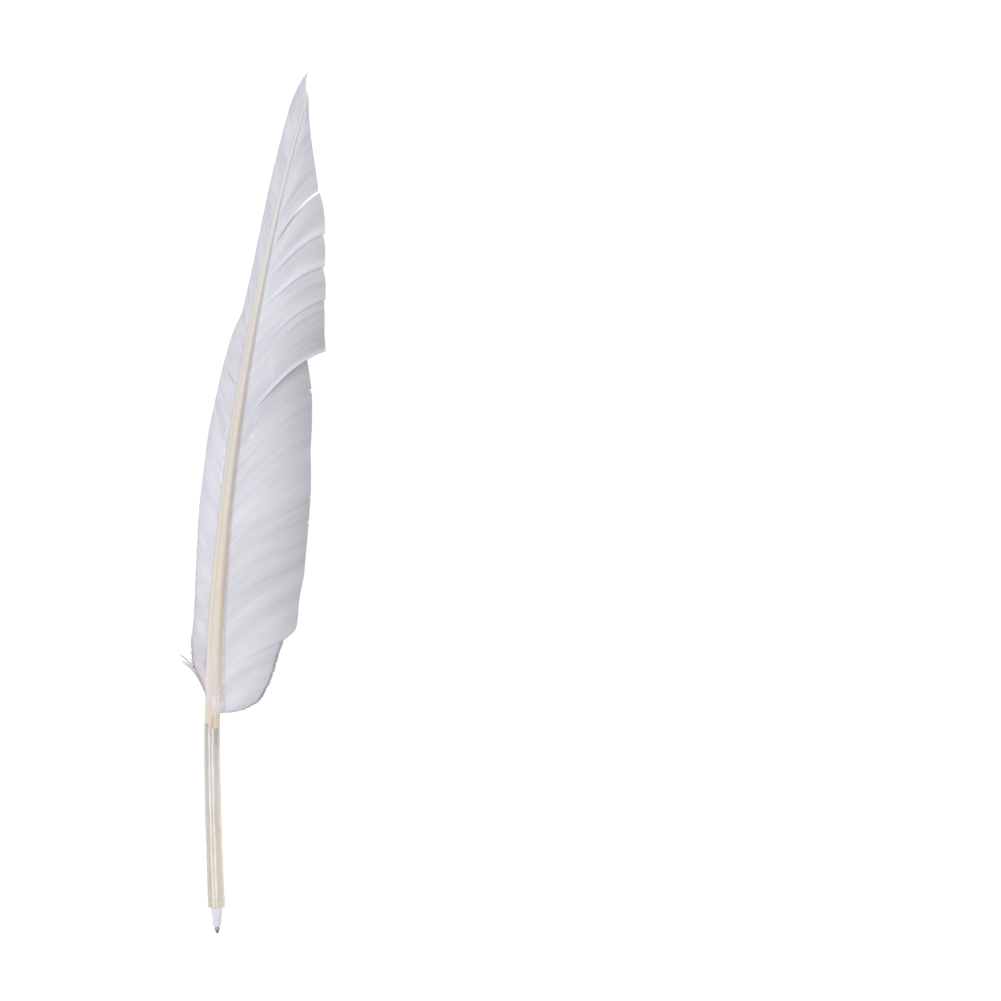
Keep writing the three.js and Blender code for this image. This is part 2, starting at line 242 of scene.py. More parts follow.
# ---------------- materials
class Nodes:
    """A short way to write a node material."""

    def __init__(self, name):
        self.material = bpy.data.materials.new(name)
        self.material.use_nodes = True
        self.tree = self.material.node_tree
        self.shader = self.tree.nodes["Principled BSDF"]

    def feed(self, socket, value):
        """Link an output to the socket, or set the socket's own value."""
        if isinstance(value, bpy.types.NodeSocket):
            self.tree.links.new(value, socket)
        else:
            socket.default_value = value

    def set(self, **sockets):
        for key, value in sockets.items():
            self.feed(self.shader.inputs[key.replace("_", " ")], value)

    def node(self, kind, inputs=(), **settings):
        made = self.tree.nodes.new("ShaderNode" + kind)
        for key, value in settings.items():
            setattr(made, key, value)
        for key, value in dict(inputs).items():
            self.feed(made.inputs[key], value)
        return made

    def attribute(self, name):
        return self.node("Attribute", attribute_name=name).outputs["Fac"]

    def math(self, operation, *values):
        return self.node("Math", dict(enumerate(values)), operation=operation).outputs[0]

    def vector(self, *values):
        return self.node("CombineXYZ", dict(enumerate(values))).outputs[0]

    def noise(self, where, detail=3.0, roughness=0.5):
        sockets = {"Vector": where, "Scale": 1.0, "Detail": detail, "Roughness": roughness}
        return self.node("TexNoise", sockets).outputs["Fac"]

    def grain(self, across, along, detail=3.0, roughness=0.5):
        """Noise with so many cells to a metre across and along the pen."""
        where = self.node("TexCoord").outputs["Object"]
        scaled = self.node("Mapping", {"Vector": where, "Scale": (across, along, across)}).outputs[0]
        return self.noise(scaled, detail, roughness)

    def ramp(self, value, stops, smooth=True):
        made = self.node("ValToRGB", {"Fac": value})
        made.color_ramp.interpolation = "EASE" if smooth else "LINEAR"
        elements = made.color_ramp.elements
        while len(elements) < len(stops):
            elements.new(0.5)
        for element, (place, colour) in zip(elements, stops):
            element.position = place
            element.color = (*colour, 1)
        return made.outputs["Color"]

    def mask(self, value, stops, smooth=True):
        """A ramp between grey levels."""
        return self.ramp(value, [(place, grey(level)) for place, level in stops], smooth)

    def mix(self, factor, a, b, blend="MIX"):
        made = self.node("Mix", data_type="RGBA", blend_type=blend)
        for key, value in (("Factor", factor), ("A", a), ("B", b)):
            socket = [s for s in made.inputs if s.name == key and s.enabled][0]
            self.feed(socket, (*value, 1) if isinstance(value, tuple) else value)
        return [s for s in made.outputs if s.enabled][0]

    def colour(self, socket):
        self.set(Base_Color=socket)

    def roughness(self, value, smooth, rough):
        spread = self.node("MapRange", {"Value": value, "To Min": smooth, "To Max": rough})
        self.set(Roughness=spread.outputs[0])

    def sway(self, noise, size):
        """The noise, centred on 0, times the size."""
        return self.math("MULTIPLY", self.math("SUBTRACT", noise, 0.5), size)

    def bump(self, height, depth, strength=1.0):
        made = self.node("Bump", {"Height": height, "Distance": depth, "Strength": strength})
        self.set(Normal=made.outputs[0])


def srgb(r, g, b):
    """Linear colour of 0-255 display values."""
    shares = (r / 255, g / 255, b / 255)
    return tuple(c / 12.92 if c <= 0.04045 else ((c + 0.055) / 1.055) ** 2.4 for c in shares)


def grey(level):
    return (level,) * 3


def vane_material(name, light, dark):
    """Zipped barbs: fine streaks along each barb, soft bands, and the painted light and shade and the tone of
    each point.
    """
    n = Nodes(name)
    along, root = n.attribute("along"), n.attribute("root")

    def stretched(across_barbs, along_barbs, layer, detail, roughness):
        over, down = n.math("MULTIPLY", root, across_barbs), n.math("MULTIPLY", along, along_barbs)
        return n.noise(n.vector(over, down, layer), detail, roughness)

    streaks = stretched(2.4, 0.9, 0.0, 4.0, 0.7)
    bands = stretched(0.16, 1.2, 4.0, 1.0, 0.5)
    base = n.ramp(bands, [(0.3, dark), (0.7, light)])
    base = n.mix(1.0, base, n.mask(streaks, [(0.28, 0.93), (0.72, 1.04)], False), "MULTIPLY")
    # painted light and shade from the shape's attributes, times each barb's own tone
    shade = n.math("MULTIPLY", n.attribute("shade"), n.attribute("tone"))
    n.colour(n.mix(1.0, base, n.vector(shade, shade, shade), "MULTIPLY"))
    n.set(Roughness=0.62, Specular_IOR_Level=0.3, Sheen_Weight=0.2, Sheen_Roughness=0.5)
    return n.material


def clouded(name, across, along, detail, dark, light, spread=0.2, bump=0.0, strength=1.0, roughness=None,
            **sockets):
    """A material whose colour, and where asked its height and roughness, follow one noise."""
    n = Nodes(name)
    cells = n.grain(across, along, detail)
    n.colour(n.ramp(cells, [(0.5 - spread, dark), (0.5 + spread, light)]))
    if bump:
        n.bump(cells, bump, strength)
    if roughness:
        n.roughness(cells, *roughness)
    n.set(**sockets)
    return n.material


def down_material(name, dark, light, solid, glow):
    """Fine loose barbules, which let light through and scatter it on; the glow stands for that."""
    return clouded(name, 900, 900, 2.0, dark, light, Roughness=0.8, Sheen_Weight=0.3, Sheen_Roughness=0.4,
                   Specular_IOR_Level=0.2, Alpha=solid, Emission_Color=(1.0, 0.97, 0.98, 1.0),
                   Emission_Strength=glow)


FEATHER_LENGTH = 380.0  # the rachis's colour stops are shares of this


def rachis_material():
    """Satin keratin: cream, with a tan line in the groove and another down the wide vane's side, each partly
    the keratin's tone and partly painted shade.
    """
    n = Nodes("rachis_keratin")
    station, turn = n.attribute("station"), n.attribute("turn")
    share = n.math("DIVIDE", station, FEATHER_LENGTH)
    pale = n.ramp(share, [
        (0.22, srgb(228, 219, 208)), (0.34, srgb(230, 221, 210)), (0.55, srgb(226, 220, 212)),
        (0.68, srgb(226, 220, 213)), (0.8, srgb(227, 225, 222)), (1.0, srgb(224, 223, 224))])
    tan = n.ramp(share, [
        (0.22, srgb(226, 208, 184)), (0.36, srgb(226, 209, 184)), (0.55, srgb(217, 206, 190)),
        (0.7, srgb(216, 209, 199)), (0.85, srgb(222, 220, 217))])
    wander = n.grain(60, 9, 2.0)
    shifted = n.math("ADD", turn, n.sway(wander, 0.05))
    # turn runs from 0 at the wide vane's side, over the top at 0.25, to 0.5 at the narrow vane's side
    # tan lines, partly the keratin's tone and partly painted shade: in the groove, and down the wide vane's
    # side, which faces away from the lights
    lines = n.mask(shifted, [(0.0, 1), (0.07, 1), (0.14, 0.55), (0.2, 0.05), (0.27, 0.1), (0.305, 0.65),
                             (0.34, 0.1), (0.42, 0), (0.5, 0.3)])
    fibres = n.grain(2600, 25)
    colour = n.mix(lines, pale, tan)
    colour = n.mix(n.attribute("pit"), colour, srgb(224, 203, 176))
    n.colour(n.mix(0.35, colour, n.mask(fibres, [(0.3, 0.86), (0.7, 1)]), "MULTIPLY"))
    n.bump(fibres, 0.00003, 0.5)
    n.set(Roughness=0.42, Specular_IOR_Level=0.4, Subsurface_Weight=0.1, Subsurface_Scale=0.002)
    return n.material


# cracks that whiten the horn: first and last station, turn at each, and half width as a share of a turn
HORN_CRACKS = [(0.8, 14.0, 0.325, 0.335, 0.011), (3.4, 21.5, 0.082, 0.137, 0.011),
               (1.2, 6.5, 0.19, 0.215, 0.008), (19.0, 30.0, 0.17, 0.165, 0.007)]
HORN_LENGTH = 90.0  # the horn's colour stops are shares of this
SCUFF_LENGTH = 60.0  # its gloss is worn over shares of this


def crack_mask(n, station, turn, wander, first, last, turn_first, turn_last, half_width):
    share = n.node("MapRange", {"Value": station, "From Min": first, "From Max": last}).outputs[0]
    place = n.node("MapRange", {"Value": share, "To Min": turn_first, "To Max": turn_last}).outputs[0]
    shaken = n.math("ADD", turn, n.sway(wander, 0.03))
    off = n.math("ABSOLUTE", n.math("SUBTRACT", shaken, place))
    thin = n.mask(off, [(0.0, 0.9), (half_width, 0)])
    ends = n.mask(share, [(0.0, 0), (0.06, 1), (0.8, 0.8), (1.0, 0)])
    return n.math("MULTIPLY", thin, ends)


def horn_ground(n, place):
    """The horn's colour: greyer towards the seam, where painted shade stands for the empty hollow inside,
    with tan stains that fade that way.
    """
    # cream near the mouth, greying towards the seam: painted shade of the empty hollow inside
    zones_and_hollow_shade = n.ramp(place, [
        (0.0, srgb(245, 238, 225)), (0.15, srgb(247, 237, 220)), (0.335, srgb(247, 236, 219)),
        (0.36, srgb(244, 236, 225)), (0.6, srgb(243, 237, 229)), (0.8, srgb(232, 227, 219)),
        (0.95, srgb(216, 210, 201))])
    stain = n.grain(420, 45)
    warm = n.mask(stain, [(0.52, 0), (0.72, 0.5)])
    near = n.mask(place, [(0.1, 1), (0.7, 0.25)])
    return n.mix(n.math("MULTIPLY", warm, near), zones_and_hollow_shade, srgb(206, 170, 134))


def horn_marks(n, colour, station, turn, wander, place, fibres):
    """White chips near the mouth, fibres, the painted shade of the plug inside, cracks, and painted shade
    down both sides.
    """
    chips = n.grain(1500, 210, 3.0, 0.7)
    chips = n.mask(chips, [(0.56, 0), (0.61, 1)])
    mouth = n.mask(n.math("DIVIDE", station, HORN_LENGTH), [(0.08, 0.75), (0.19, 0)])
    colour = n.mix(n.math("MULTIPLY", chips, mouth), colour, srgb(250, 247, 242))
    grain = n.mask(fibres, [(0.25, 0.86), (0.75, 1.02)])
    colour = n.mix(0.6, colour, grain, "MULTIPLY")
    # painted shade of the plug inside, on the wide vane's side
    inside = n.mask(place, [(0.79, 0), (0.83, 1)])
    wide_side = n.mask(turn, [(0.02, 0), (0.05, 1), (0.17, 1), (0.21, 0)])
    colour = n.mix(n.math("MULTIPLY", inside, wide_side), colour, srgb(205, 196, 184))
    for mark in HORN_CRACKS:
        colour = n.mix(crack_mask(n, station, turn, wander, *mark), colour, srgb(252, 250, 246))
    # painted shade down both sides of the quill, at the wide and the narrow vane's side
    sides = n.mask(turn, [(0.0, 1), (0.08, 0), (0.3, 0), (0.36, 0.3), (0.5, 1), (0.58, 0), (0.92, 0),
                          (1.0, 1)])
    return n.mix(sides, colour, srgb(168, 153, 138))


def horn_material():
    """The hollow quill: translucent, fibrous horn whose gloss is worn near the mouth."""
    n = Nodes("quill_horn")
    station, turn = n.attribute("station"), n.attribute("turn")
    wander = n.grain(160, 60)
    place = n.math("DIVIDE", n.math("ADD", station, n.sway(wander, 6.0)), HORN_LENGTH)
    fibres = n.grain(1500, 16, 4.0, 0.6)
    n.colour(horn_marks(n, horn_ground(n, place), station, turn, wander, place, fibres))
    n.bump(fibres, 0.00005, 0.5)
    scuffed = n.grain(700, 90)
    worn = n.math("ADD", n.math("DIVIDE", station, SCUFF_LENGTH), n.sway(scuffed, 0.7))
    coat = n.mask(worn, [(0.1, 0.6), (0.4, 1)])
    n.set(Coat_Weight=coat, Coat_Roughness=0.2, Coat_IOR=2.1, Roughness=0.3, Alpha=0.72,
          Specular_IOR_Level=0.6)
    return n.material


def nose_material():
    """White moulded plastic, with faint flow marks and a few specks."""
    n = Nodes("nose_plastic")
    flow = n.grain(380, 180)
    specks = n.grain(1700, 1700, 1.0)
    tint = n.ramp(flow, [(0.3, srgb(222, 220, 232)), (0.7, srgb(232, 231, 243))])
    n.colour(n.mix(n.mask(specks, [(0.78, 0), (0.82, 0.5)], False), tint, srgb(170, 165, 170)))
    n.roughness(flow, 0.34, 0.46)
    n.bump(n.grain(3500, 3500), 0.000008)
    n.set(Subsurface_Weight=0.25, Subsurface_Scale=0.0015, Specular_IOR_Level=0.45)
    return n.material


def metal_material(name, colour, smooth, rough, ring_scale):
    """Turned metal, with fine rings round the axis."""
    return clouded(name, 40, ring_scale, 3.0, tuple(c * 0.86 for c in colour), colour, spread=0.15,
                   bump=0.000004, strength=0.4, roughness=(smooth, rough), Metallic=1.0)


MATERIALS = {
    "vane": vane_material("vane_web", srgb(222, 221, 229), srgb(213, 212, 220)),
    "barb": vane_material("vane_barbs", srgb(227, 226, 234), srgb(218, 217, 225)),
    "down": down_material("down", srgb(244, 238, 243), srgb(255, 252, 254), 0.6, 0.08),
    "wisp": down_material("down_wisp", srgb(190, 189, 194), srgb(216, 215, 219), 1.0, 0.0),
    "rachis": rachis_material(),
    "horn": horn_material(),
    "glue": clouded("dried_glue", 900, 900, 3.0, srgb(216, 212, 208), srgb(246, 245, 244), spread=0.15,
                    bump=0.00004, Roughness=0.35, Subsurface_Weight=0.2, Subsurface_Scale=0.0005),
    "pith": clouded("pith", 2200, 900, 4.0, srgb(232, 214, 188), srgb(248, 238, 222), bump=0.00006,
                    Roughness=0.9),
    "nose": nose_material(),
    "tube": clouded("refill_tube", 300, 30, 2.0, srgb(206, 200, 196), srgb(222, 216, 210),
                    roughness=(0.3, 0.45)),
    "ink": clouded("ink", 500, 200, 3.0, (0.006, 0.008, 0.03), (0.012, 0.015, 0.05), Roughness=0.25),
    "metal": metal_material("point_metal", (0.42, 0.385, 0.35), 0.12, 0.24, 9000),
    "ball": metal_material("ball_steel", (0.8, 0.8, 0.82), 0.05, 0.1, 400),
}


# ---------------- the refill
def on_axis(radius, station, angle):
    """Points round the refill's axis; angle 0 is towards the wide vane and a quarter turn is up."""
    side = np.array([AXIS[1], -AXIS[0], 0.0])
    centre = AXIS * np.asarray(station)[..., None] + np.array([0, 0, AXIS_HEIGHT])
    spin = side * np.cos(angle)[..., None] + np.array([0, 0, 1.0]) * np.sin(angle)[..., None]
    return centre + np.asarray(radius)[..., None] * spin


def turned(profile, hollow=False, sides=96):
    """A solid of revolution from (radius, station) pairs; a hollow one's profile goes in and out."""
    radius, station = (np.array(c, float)[:, None] for c in zip(*profile))
    angle = np.arange(sides) / sides * 2 * math.pi
    one = np.ones_like(angle)
    return loft(on_axis(radius * one, station * one, angle * np.ones_like(radius)), joined=hollow)


def fillet(radius, station, size, start, end, steps=8):
    """(radius, station) pairs of an arc from start to end, in quarter turns."""
    angles = np.linspace(start, end, steps + 1) * math.pi / 2
    return [(radius + size * math.cos(a), station + size * math.sin(a)) for a in angles]


def nose_cone():
    """Tapered cone with a rounded shoulder, a faint bulge, and its tapered spigot in the quill."""
    shoulder = NOSE_ROUND - NOSE_LENGTH
    taper = [(NOSE_TIP_R + (NOSE_BASE_R - NOSE_TIP_R) * t + NOSE_BULGE * math.sin(math.pi * t),
              shoulder - shoulder * t) for t in np.linspace(0, 1, 18)[1:]]
    tip = [(NOSE_BORE_R, -NOSE_LENGTH + 0.15), (1.27, -NOSE_LENGTH),
           *fillet(NOSE_TIP_R - NOSE_ROUND, shoulder, NOSE_ROUND, -1, 0)]
    spigot = [(2.84, 0.05), (3.1, 0.08), (SPIGOT_R, 0.2), (SPIGOT_INNER_R, SPIGOT_LENGTH - 0.5),
              (2.7, SPIGOT_LENGTH)]
    inside = [(TUBE_SOCKET_R, SPIGOT_LENGTH), (TUBE_SOCKET_R, 1.7), (NOSE_BORE_R, 1.7)]
    profile = tip + taper + spigot + inside
    return piece("nose_cone_moulding", turned(profile, True), "nose", "refill",
                 ["nose_cone"], sharp=50)


def point_housing():
    """The turned metal point: neck, waisted collar, long cone, rolled lip and socket."""
    wide, narrow, bulge = 1.13, 0.58, 0.035
    cone_end = LIP + LIP_LENGTH
    cone = [(wide + (narrow - wide) * t + bulge * math.sin(math.pi * t),
             CONE_START + (cone_end - CONE_START) * t) for t in np.linspace(0, 1, 12)]
    neck = [(0.85, POINT_BACK), (0.85, -9.05), (0.98, -9.12), (0.98, COLLAR + 0.05)]
    collar = [(1.08, COLLAR), (POINT_R, COLLAR - 0.07), (POINT_R, COLLAR - 0.42), (1.12, COLLAR - 0.47),
              (1.12, COLLAR - 0.52), (POINT_R, COLLAR - 0.57), (POINT_R, -10.4)]
    lip = [(0.55, LIP + 0.03), (0.52, LIP), (0.486, LIP), (0.486, LIP + 0.04)]
    socket = [(SOCKET_R, cone_end), (SOCKET_R, BALL_CENTRE + 0.3), (INK_WAY_R, BALL_CENTRE + 0.5),
              (INK_WAY_R, POINT_BACK)]
    return piece("point_turning", turned(neck + collar + cone + lip + socket, True), "metal",
                 "refill", ["point_housing"], sharp=30)


def writing_ball():
    """A fine sphere, built as rings across its axis."""
    angles = np.linspace(0, math.pi, 34)
    profile = [(max(BALL_R * math.sin(a), 0.004), BALL_CENTRE - BALL_R * math.cos(a)) for a in angles]
    return piece("rolling_ball", turned(profile, sides=64), "ball", "ball",
                 ["writing_ball"], sharp=80)


def ink_tube():
    """Milky tube whose cut ends are softened."""
    soft = 0.1
    inner, outer = TUBE_BORE_R + soft, TUBE_R - soft
    profile = [(TUBE_BORE_R, TUBE_START + soft), (inner, TUBE_START), (outer, TUBE_START),
               (TUBE_R, TUBE_START + soft), (TUBE_R, TUBE_END - soft), (outer, TUBE_END),
               (inner, TUBE_END), (TUBE_BORE_R, TUBE_END - soft)]
    return piece("refill_tube", turned(profile, True), "tube", "refill",
                 ["ink_tube"])


def tail_plug():
    """Rounded end of the tube, with a short stem inside it."""
    seat = TUBE_END + 0.05
    profile = [(0.005, PLUG_START), (PLUG_R - 0.1, PLUG_START), (PLUG_R, PLUG_START + 0.1), (PLUG_R, seat),
               (1.5, seat), (1.58, seat + 0.08), *fillet(0, seat + 0.15, TUBE_R, 0, 0.998, 14)]
    return piece("refill_tail_plug", turned(profile), "tube", "refill",
                 ["tail_plug"])


# ---------------- the shaft
def on_shaft(station, side, up):
    normal = across(station)
    x = shaft_x(station) + normal[..., 0] * side
    return np.stack([x, station + normal[..., 1] * side, up + 0 * side], -1)


def shaft_skin(station, turn, shrink=0.0):
    """Points of the shaft's surface; it is round along the quill and squarish, with a groove, beyond it."""
    station, turn = np.broadcast_arrays(np.asarray(station, float), np.asarray(turn, float))
    blend = smoothstep(70, 100, station)
    outer_w = shaft_width(station)
    outer_d = outer_w + (shaft_depth(station) - outer_w) * blend
    width, depth = outer_w - 2 * shrink, outer_d - 2 * shrink
    c, s = np.cos(turn * 2 * math.pi), np.sin(turn * 2 * math.pi)
    fullness = 1 - 0.2 * blend
    side = width / 2 * np.sign(c) * np.abs(c) ** fullness
    rise = depth / 2 * np.sign(s) * np.abs(s) ** fullness
    ramp = smoothstep(84, 125, station)
    place = (side - GROOVE_SIDE * width) / (0.13 * width)
    dip = np.where(s > 0, GROOVE * ramp * width * np.exp(-place ** 2), 0)
    base = lift(station) + outer_d / 2 * (FLAT + (1 - FLAT) * blend)
    return on_shaft(station, side, base + rise - dip)


def wobble(station, turn, size):
    """Slow unevenness of grown horn."""
    return size * (np.sin(station * 0.21 + turn * 9) + 0.6 * np.sin(station * 0.47 - turn * 15 + 1.3)) / 1.6


def seam_shift(turn):
    """How far the seam between clear and opaque horn strays from its station, round the shaft."""
    return -1.25 * np.cos(2 * math.pi * turn) + 0.45 * np.sin(6 * math.pi * turn + 0.8)


def umbilicus(station, turn):
    """Depth share of the small teardrop pit where the pulp once entered."""
    width = 0.018 + 0.014 * smoothstep(87.5, 82.5, station)
    return bell(turn, 0.228, width) * smoothstep(88.5, 85, station) * smoothstep(80.4, 82.6, station)


def turns(count):
    """Places round the shaft, evenly spaced over one turn."""
    return np.arange(count) / count


def seam_ring(y, turn, start):
    """Stations of the ring at y, which takes on the seam's shape between start and the seam."""
    return y + seam_shift(turn) * smoothstep(start, SEAM, y)


def quill_barrel():
    """The hollow quill, cut square at the mouth, as far as the seam with the solid shaft."""
    turn = turns(120)
    outside = np.concatenate([[0, 0.06], np.linspace(0.14, 3, 12)[1:], np.linspace(3, SEAM, 120)[1:]])
    rings, stations = [], []
    for y in outside:
        chamfer = 0.09 * (1 - min(y / 0.14, 1)) ** 2
        uneven = wobble(y, 2 * math.pi * turn, 0.014) * min(y / 4, 1) * smoothstep(SEAM, 74, y)
        at = seam_ring(y, turn, 68)
        rings.append(shaft_skin(at, turn, shrink=chamfer + uneven + PIT_DEPTH * umbilicus(at, turn)))
        stations.append(at)
    for y in np.linspace(SEAM, 0, 40):
        at = seam_ring(y, turn, 68)
        rings.append(shaft_skin(at, turn, shrink=WALL + 0.06 * (y < 0.1)))
        stations.append(at)
    values = {"station": np.concatenate(stations), "turn": np.tile(turn, len(rings))}
    return piece("quill_horn_tube", loft(np.array(rings), True), "horn", "quill",
                 ["quill_barrel"], values=values)


def glue_ring():
    """Uneven bead of dried glue between the nose cone and the quill's mouth."""
    turn = turns(120)
    angle = turn * 2 * math.pi
    uneven = (np.sin(angle * 3 + 0.7) + 0.7 * np.sin(angle * 7 + 2.0) + 0.5 * np.sin(angle * 17)
              + 0.4 * np.sin(angle * 29 + 1))
    proud = 0.18 + 0.06 * uneven + 0.12 * bell(turn, 0.46, 0.05) + 0.2 * bell(turn, 0.1, 0.07)
    rings = []
    for t in turns(10) * 2 * math.pi:
        radius = 3.58 + 0.28 * math.cos(t) + 0.02 * uneven
        rings.append(on_axis(radius, 0.08 - np.maximum(proud, 0.03) * (0.5 + 0.5 * math.sin(t)), angle))
    return piece("mouth_glue", loft(np.array(rings), True), "glue", "quill",
                 ["quill_barrel"])


def rachis():
    """The solid shaft: squarish, grooved on the face, pitted near the seam, and a hair at the tip."""
    turn = turns(96)
    stations = np.concatenate([np.linspace(SEAM + 0.02, 96, 50), np.linspace(96, 290, 220)[1:],
                               np.linspace(290, SHAFT_END + 1, 90)[1:]])
    rings, at_all, pits = [], [], []
    for y in stations:
        at = seam_ring(y, turn, 94)
        pit = umbilicus(at, turn)
        uneven = wobble(y, 2 * math.pi * turn, 0.012) * smoothstep(84, 90, y)
        rings.append(shaft_skin(at, turn, shrink=uneven + PIT_DEPTH * pit))
        at_all.append(at)
        pits.append(pit)
    values = {"station": np.concatenate(at_all), "turn": np.tile(turn, len(rings)),
              "pit": np.concatenate(pits)}
    return piece("rachis_shaft", loft(np.array(rings)), "rachis", "quill",
                 ["rachis"], values=values)


def pith_plug():
    """Dried pulp under the seam: a ragged cone inside the hollow quill."""
    turn = turns(64)
    rings = []
    for y in np.linspace(77.6, SEAM - 0.05, 30):
        at = seam_ring(y, turn, 77)
        full = shaft_width(at) / 2 - WALL - 0.04
        ragged = 1.1 * np.sin(2 * math.pi * turn + 0.6) - 0.6
        share = 0.12 + 0.88 * smoothstep(77.4, 81.6, y + ragged) ** 0.6
        rings.append(shaft_skin(at, turn, shrink=shaft_width(at) / 2 - full * share))
    return piece("pulp_cap", loft(np.array(rings)), "pith", "quill", ["pith_plug"])


# ---------------- the vanes
# A vane is made of locks of zipped barbs. In each lock:
# roots: first and last station on the shaft
# tips: (x, station) of points of the free edge, evenly spaced along the lock
# pitch: how far apart the barbs are, where that isn't the side's pitch
# ridge, dip: how far the lower edge stands over the lock before it, and the upper tucks under the next;
# they also set a painted highlight on the raised edge and painted shade under the tucked one
# splay: how far the lower and upper edges spread from their neighbours near the free edge
# hook: how much the barbs next to the upper edge bend
# fray, fringe: how loose the tips are, and how dark
# crack: how dark the line along the upper edge is, a painted shadow in the slit between locks
# nicks: (root, depth, width) of small splits at the free edge
# ruffles: (first root, last root, share at the first, share at the last) of rows of ruffled barbs, raised,
# with painted glints
# strays, dark: (root, from, to) of barbs that stand out with a painted highlight, or lie in painted shade,
# between two shares of their length
TRAILING = [
    dict(roots=(88.0, 90.3), tips=[(6.1, 88.2), (14.2, 90.2), (20.9, 94.3), (24.4, 100.9)], pitch=0.11,
         fray=0.8, fringe=0.55),
    dict(roots=(90.3, 103.0), tips=[(24.4, 100.9), (27.0, 107.6), (29.0, 114.9), (31.2, 121.6)], pitch=0.38,
         fray=0.5, fringe=0.45,
         nicks=[(91.8, 0.4, 0.3), (94.0, 0.7, 0.25), (96.5, 0.5, 0.3), (99.2, 0.4, 0.25)]),
    dict(roots=(103.0, 133.7), ridge=0.2, dip=0.2,
         tips=[(31.2, 121.6), (36.0, 126.0), (37.2, 131.9), (37.7, 138.2), (38.6, 144.2), (39.9, 150.3),
               (40.6, 157.5)],
         strays=[(132.6, 0.74, 0.84)], dark=[(110.5, 0.1, 0.55), (118.0, 0.05, 0.6)]),
    dict(roots=(133.7, 176.5), tips=[(40.6, 157.5), (41.9, 172), (43.1, 190), (43.0, 207.4)],
         nicks=[(147.5, 0.5, 0.2), (150.5, 0.8, 0.2), (155.0, 0.4, 0.2), (159.5, 0.6, 0.2)],
         strays=[(164.0, 0.72, 1.0), (155.5, 0.58, 0.8)]),
    dict(roots=(176.5, 219.6), tips=[(43.0, 207.4), (43.6, 221), (43.4, 235), (41.3, 249.8)],
         ridge=0.1, dip=0.6,
         nicks=[(205.3, 1.3, 0.3), (204.3, 0.6, 0.2)], ruffles=[(203, 214, 0.21, 0.29)],
         dark=[(200.4, 0.15, 0.5)]),
    dict(roots=(219.3, 249.7), tips=[(49.9, 252.7), (49.3, 261), (49.4, 269), (49.0, 276.5)],
         ridge=1.4, dip=0.3,
         ruffles=[(222, 238, 0.42, 0.36)]),
    dict(roots=(249.5, 271.5), tips=[(49.8, 276.1), (49.8, 284), (48.5, 291.5)], ridge=0.5, dip=0.25),
    dict(roots=(271.3, 284.1), tips=[(49.5, 291.1), (49.7, 300), (48.5, 306.6)], ridge=0.8, dip=0.4),
    dict(roots=(283.9, 298.9), tips=[(49.8, 306.2), (49.4, 313), (48.6, 319), (46.9, 325.0)],
         ridge=0.9, dip=0.2,
         splay=(0, 0.5), crack=0.9),
    dict(roots=(298.9, 321.3), tips=[(46.9, 325.2), (45.6, 334), (44.1, 343.3)], ridge=0.3, splay=(0.5, 0)),
    dict(roots=(321.3, 345.3), tips=[(44.1, 343.3), (43.1, 351), (42.3, 360.1)]),
    dict(roots=(345.3, 367.6), tips=[(42.3, 360.1), (42.1, 364.5), (41.9, 368.4), (41.1, 370.8)]),
]
LEADING = [
    dict(roots=(100.2, 110.1), tips=[(-7.3, 102.4), (-10.0, 106.8), (-11.9, 112.2), (-12.1, 119)], fray=1.0,
         fringe=0.35, dark=[(root, 0.15, 0.8) for root in (101.6, 103.4, 105.8, 108.3)]),
    dict(roots=(110.1, 162.3), tips=[(-12.1, 119), (-10.9, 131), (-9.7, 153), (-7.9, 182.8)],
         nicks=[(111.5, 0.9, 0.3), (114.5, 0.8, 0.25), (119.0, 0.9, 0.3)], fray=0.25, fringe=0.12,
         dark=[(111.6, 0.3, 0.95), (113.8, 0.2, 0.8), (117.2, 0.45, 0.95)]),
    dict(roots=(162.3, 235.6), tips=[(-7.9, 182.8), (-5.7, 201.2), (-3.4, 217.7), (0.0, 233.7), (3.5, 248.9)],
         ruffles=[(190, 217, 0.1, 0.16)], crack=0.5,
         strays=[(root, 0.15, 0.9) for root in (180.0, 184.6, 189.7, 193.8, 197.9, 202.2, 206.9)]),
    dict(roots=(235.6, 257.6), tips=[(3.5, 248.8), (7.3, 260.8), (11.9, 271.3)], ridge=0.3),
    dict(roots=(257.6, 298.3), tips=[(11.9, 271.3), (16.0, 289.6), (20.6, 311.3)]),
    dict(roots=(298.3, 344.3), tips=[(20.6, 311.3), (25.1, 332.2), (30.6, 354.3)]),
    dict(roots=(344.3, 367.8), tips=[(30.6, 354.3), (34.3, 366.4), (38.9, 376.0), (42.2, 380.0)], hook=0.08),
]
# On each side of the shaft:
# bend, early: how much the barbs curve, and whether the lower ones do so near the root
# arch, waves: heights of the vane's camber and of its gentle folds
# tone, edge_dark, root_light: by station, the brightness, how much darker the free edge is, as painted shade
# where the vane slopes away from the lights, and how much lighter the strip next to the shaft is, as painted
# light against the shaft's shadow
WIDE = dict(
    sign=1, bend=0.1, early=1, arch=1.3, pitch=0.46, waves=1.0,
    tone=through([(88, 1.07), (100, 1.08), (112, 1.06), (150, 1.04), (168, 1.09), (185, 1.06), (215, 1.01),
                  (230, 1.01), (245, 1.05), (257, 1.05), (278, 1.06), (300, 1.03), (368, 1.0)]),
    edge_dark=through([(88, 0.16), (112, 0.26), (125, 0.3), (150, 0.34), (225, 0.31), (260, 0.22),
                       (300, 0.14), (368, 0.08)]),
    root_light=through([(88, 0.24), (112, 0.2), (135, 0.08), (150, 0.0), (215, 0.0), (255, 0.1), (368, 0.1)]))
